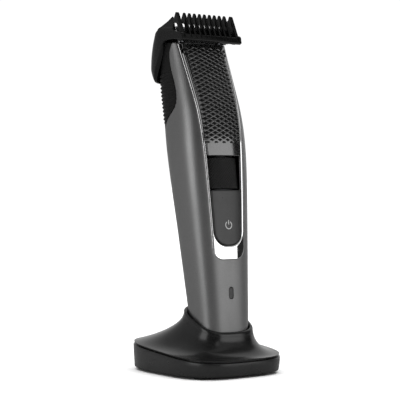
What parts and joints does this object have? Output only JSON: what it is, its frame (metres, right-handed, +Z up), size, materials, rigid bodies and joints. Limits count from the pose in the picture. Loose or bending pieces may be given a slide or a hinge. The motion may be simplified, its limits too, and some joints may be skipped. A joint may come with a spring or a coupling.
{
  "type": "beard trimmer",
  "caption": "Cordless beard trimmer with a length comb, zoom wheel and rechargeable battery, standing upright in its charging stand.",
  "frame": {"origin": "centre of the stand's footprint, on the table", "axes": "+Z up, -Y the trimmer's front with the wheel and power button, +X to the right seen from behind the front"},
  "size_m": [0.0652, 0.0756, 0.1936],
  "materials": {
    "housing_grey": "metallic grey paint, fine satin",
    "grip_rubber": "soft matt rubber",
    "chrome_trim": "bright plated plastic trim",
    "panel_gloss": "gloss, with a raised diamond lattice",
    "button_satin": "satin",
    "wheel_black": "fine diamond knurl",
    "lens_smoke": "smoked",
    "comb_black": "satin",
    "stand_satin": "satin",
    "stand_skirt": "fine matt",
    "foot_rubber": "matt",
    "ballast_iron": "plain",
    "dark_plastic": "plain",
    "contact_gold": "plated",
    "screw_steel": "bright",
    "chassis_grey": "plain",
    "battery_wrap": "shrink sleeve",
    "board_green": "solder mask",
    "switch_metal": "plain",
    "motor_steel": "plated can",
    "cream_plastic": "low-friction",
    "blade_steel": "ground"
  },
  "bodies": {
    "stand": {"stand_base": "stand_skirt", "stand_shell": "stand_satin", "stand_feet": "foot_rubber", "stand_weight": "ballast_iron", "contact_block": "dark_plastic", "contact_pins": "contact_gold", "power_inlet": "dark_plastic", "stand_screws": "screw_steel"},
    "handset": {"housing": "housing_grey", "rear_grip": "grip_rubber", "chrome_bezel": "chrome_trim", "upper_panel": "panel_gloss", "indicator_lens": "lens_smoke", "bottom_cap": "dark_plastic", "charging_contacts": "contact_gold", "inner_chassis": "chassis_grey", "battery": "battery_wrap", "battery_tabs": "contact_gold", "main_pcb": "board_green", "tact_switch": "switch_metal", "pcb_screws": "screw_steel", "motor": "motor_steel", "motor_cap": "chassis_grey", "cutter_block": "comb_black", "fixed_blade": "blade_steel", "blade_spring": "blade_steel", "blade_screws": "screw_steel"},
    "power_button": {"power_button": "button_satin"},
    "zoom_wheel": {"zoom_wheel": "wheel_black"},
    "comb_carriage": {"comb_carriage": "dark_plastic"},
    "comb": {"comb": "comb_black"},
    "rotor": {"motor_shaft": "screw_steel", "drive_cam": "cream_plastic"},
    "drive_lever": {"drive_lever": "cream_plastic"},
    "cutter": {"moving_blade": "blade_steel", "blade_bridge": "cream_plastic"}
  },
  "joints": [
    {"name": "lift_out", "type": "slide", "parent": "stand", "child": "handset", "axis": [0, 0.1392, 0.9903], "range_m": [0, 0.06]},
    {"name": "wheel_turn", "type": "hinge", "parent": "handset", "child": "zoom_wheel", "pos_m": [0, -0.00307, 0.11095], "axis": [0, 0.1392, 0.9903], "range_deg": [0, 200]},
    {"name": "comb_lift", "type": "slide", "parent": "handset", "child": "comb_carriage", "axis": [0, 0.1392, 0.9903], "range_m": [0, 0.01]},
    {"name": "comb_pull_off", "type": "slide", "parent": "comb_carriage", "child": "comb", "axis": [0, 0.1392, 0.9903], "range_m": [0, 0.045]},
    {"name": "power_press", "type": "hinge", "parent": "handset", "child": "power_button", "pos_m": [0, -0.01612, 0.10289], "axis": [1, 0, 0], "range_deg": [0, 1], "stiffness_Nm_per_rad": 1.5, "springref_deg": -0.57},
    {"name": "motor_spin", "type": "hinge", "parent": "handset", "child": "rotor", "pos_m": [0, 0.0032, 0.15551], "axis": [0, 0.1392, 0.9903], "continuous": true},
    {"name": "cutter_slide", "type": "slide", "parent": "handset", "child": "cutter", "axis": [1, 0, 0], "range_m": [-0.001, 0.001]},
    {"name": "lever_swing", "type": "hinge", "parent": "handset", "child": "drive_lever", "pos_m": [0, 0.01322, 0.15784], "axis": [0, 0.1392, 0.9903], "range_deg": [-5.3, 5.3]}
  ],
  "couplings": [
    {"joint": "wheel_turn", "follows": "comb_lift", "rad_per_m": 349.06},
    {"joint": "lever_swing", "follows": "cutter_slide", "rad_per_m": 89.867}
  ]
}
